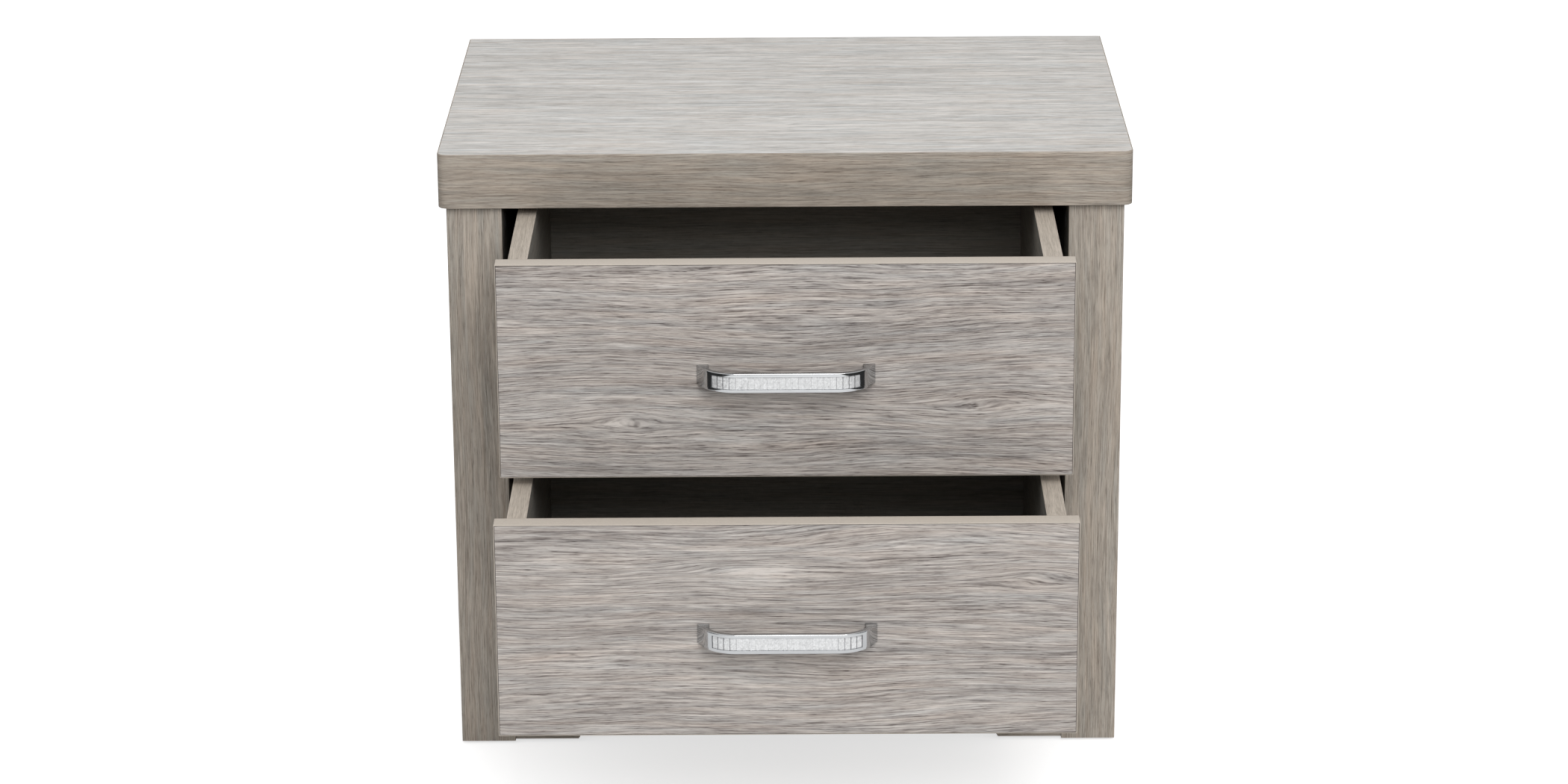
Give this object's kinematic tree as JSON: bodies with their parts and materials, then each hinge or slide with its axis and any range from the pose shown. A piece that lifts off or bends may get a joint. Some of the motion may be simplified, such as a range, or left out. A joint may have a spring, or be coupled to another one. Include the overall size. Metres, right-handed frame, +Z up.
{
  "type": "nightstand with drawers",
  "caption": "Free-standing bedside cabinet in grey oak decor with a thick top, thick sides, a cut-out plinth and inset drawers on roller runners, drawn with the drawers pulled out.",
  "frame": {"origin": "on the floor, under the middle of the top panel", "axes": "+Z up out of the top's surface, +X to the right of someone who faces the drawers, +Y to the back; the drawers pull out along -Y"},
  "size_m": [0.55, 0.64, 0.504],
  "materials": {
    "top_decor": "matt printed oak decor on chipboard",
    "frame_decor": "matt printed oak decor with fine pores on chipboard",
    "front_decor": "matt embossed oak decor on chipboard",
    "front_edging": "smooth plastic edge banding",
    "box_decor": "matt plain decor on chipboard",
    "chipboard": "raw chipboard",
    "beech": "plain turned beech",
    "hardboard": "smooth-faced hardboard",
    "zinc_steel": "zinc-plated and passivated",
    "chrome": "polished plating",
    "crystal": "faceted clear acrylic on a silver foil",
    "nylon": "moulded white nylon"
  },
  "bodies": {
    "carcass": {"top_upper_board": "top_decor", "top_lower_board": "frame_decor", "top_edge_band": "frame_decor", "hollow_core_strips": "chipboard", "left_side_outer_board": "frame_decor", "left_side_inner_board": "box_decor", "left_side_edge_band": "frame_decor", "right_side_outer_board": "frame_decor", "right_side_inner_board": "box_decor", "right_side_edge_band": "frame_decor", "bottom_board": "box_decor", "front_plinth": "frame_decor", "rear_plinth": "frame_decor", "back_panel": "hardboard", "back_panel_nails": "zinc_steel", "carcass_cam_locks": "zinc_steel", "carcass_cam_bolts": "zinc_steel", "carcass_dowels": "beech", "floor_glides": "nylon", "upper_left_cabinet_runner": "zinc_steel", "upper_right_cabinet_runner": "zinc_steel", "lower_left_cabinet_runner": "zinc_steel", "lower_right_cabinet_runner": "zinc_steel", "cabinet_runner_screws": "zinc_steel"},
    "upper_drawer": {"upper_drawer_front": "front_decor", "upper_drawer_front_band": "front_edging", "upper_drawer_left_side": "box_decor", "upper_drawer_right_side": "box_decor", "upper_drawer_back": "box_decor", "upper_drawer_bottom": "hardboard", "upper_drawer_cam_fittings": "zinc_steel", "upper_drawer_back_screws": "zinc_steel", "upper_handle": "chrome", "upper_handle_inlay": "crystal", "upper_handle_screws": "zinc_steel", "upper_left_drawer_runner": "zinc_steel", "upper_right_drawer_runner": "zinc_steel", "upper_drawer_runner_screws": "zinc_steel"},
    "lower_drawer": {"lower_drawer_front": "front_decor", "lower_drawer_front_band": "front_edging", "lower_drawer_left_side": "box_decor", "lower_drawer_right_side": "box_decor", "lower_drawer_back": "box_decor", "lower_drawer_bottom": "hardboard", "lower_drawer_cam_fittings": "zinc_steel", "lower_drawer_back_screws": "zinc_steel", "lower_handle": "chrome", "lower_handle_inlay": "crystal", "lower_handle_screws": "zinc_steel", "lower_left_drawer_runner": "zinc_steel", "lower_right_drawer_runner": "zinc_steel", "lower_drawer_runner_screws": "zinc_steel"},
    "upper_left_cabinet_roller": {"upper_left_cabinet_roller": "nylon"},
    "upper_left_drawer_roller": {"upper_left_drawer_roller": "nylon"},
    "upper_right_cabinet_roller": {"upper_right_cabinet_roller": "nylon"},
    "upper_right_drawer_roller": {"upper_right_drawer_roller": "nylon"},
    "lower_left_cabinet_roller": {"lower_left_cabinet_roller": "nylon"},
    "lower_left_drawer_roller": {"lower_left_drawer_roller": "nylon"},
    "lower_right_cabinet_roller": {"lower_right_cabinet_roller": "nylon"},
    "lower_right_drawer_roller": {"lower_right_drawer_roller": "nylon"}
  },
  "joints": [
    {"name": "upper_drawer_slide", "type": "slide", "parent": "carcass", "child": "upper_drawer", "axis": [0, -1, 0], "range_m": [-0.144, 0.116]},
    {"name": "lower_drawer_slide", "type": "slide", "parent": "carcass", "child": "lower_drawer", "axis": [0, -1, 0], "range_m": [-0.232, 0.028]},
    {"name": "upper_left_cabinet_roller_spin", "type": "hinge", "parent": "carcass", "child": "upper_left_cabinet_roller", "pos_m": [-0.21985, -0.158, 0.2998], "axis": [1, 0, 0], "range_deg": [-827, 666]},
    {"name": "upper_left_drawer_roller_spin", "type": "hinge", "parent": "upper_drawer", "child": "upper_left_drawer_roller", "pos_m": [-0.21665, 0.01, 0.298], "axis": [1, 0, 0], "range_deg": [-827, 666]},
    {"name": "upper_right_cabinet_roller_spin", "type": "hinge", "parent": "carcass", "child": "upper_right_cabinet_roller", "pos_m": [0.21985, -0.158, 0.2998], "axis": [1, 0, 0], "range_deg": [-827, 666]},
    {"name": "upper_right_drawer_roller_spin", "type": "hinge", "parent": "upper_drawer", "child": "upper_right_drawer_roller", "pos_m": [0.21665, 0.01, 0.298], "axis": [1, 0, 0], "range_deg": [-827, 666]},
    {"name": "lower_left_cabinet_roller_spin", "type": "hinge", "parent": "carcass", "child": "lower_left_cabinet_roller", "pos_m": [-0.21985, -0.158, 0.1208], "axis": [1, 0, 0], "range_deg": [-1331, 162]},
    {"name": "lower_left_drawer_roller_spin", "type": "hinge", "parent": "lower_drawer", "child": "lower_left_drawer_roller", "pos_m": [-0.21665, -0.078, 0.119], "axis": [1, 0, 0], "range_deg": [-1331, 162]},
    {"name": "lower_right_cabinet_roller_spin", "type": "hinge", "parent": "carcass", "child": "lower_right_cabinet_roller", "pos_m": [0.21985, -0.158, 0.1208], "axis": [1, 0, 0], "range_deg": [-1331, 162]},
    {"name": "lower_right_drawer_roller_spin", "type": "hinge", "parent": "lower_drawer", "child": "lower_right_drawer_roller", "pos_m": [0.21665, -0.078, 0.119], "axis": [1, 0, 0], "range_deg": [-1331, 162]}
  ],
  "couplings": [
    {"joint": "upper_left_cabinet_roller_spin", "follows": "upper_drawer_slide", "rad_per_m": 100},
    {"joint": "upper_left_drawer_roller_spin", "follows": "upper_drawer_slide", "rad_per_m": 100},
    {"joint": "upper_right_cabinet_roller_spin", "follows": "upper_drawer_slide", "rad_per_m": 100},
    {"joint": "upper_right_drawer_roller_spin", "follows": "upper_drawer_slide", "rad_per_m": 100},
    {"joint": "lower_left_cabinet_roller_spin", "follows": "lower_drawer_slide", "rad_per_m": 100},
    {"joint": "lower_left_drawer_roller_spin", "follows": "lower_drawer_slide", "rad_per_m": 100},
    {"joint": "lower_right_cabinet_roller_spin", "follows": "lower_drawer_slide", "rad_per_m": 100},
    {"joint": "lower_right_drawer_roller_spin", "follows": "lower_drawer_slide", "rad_per_m": 100}
  ]
}
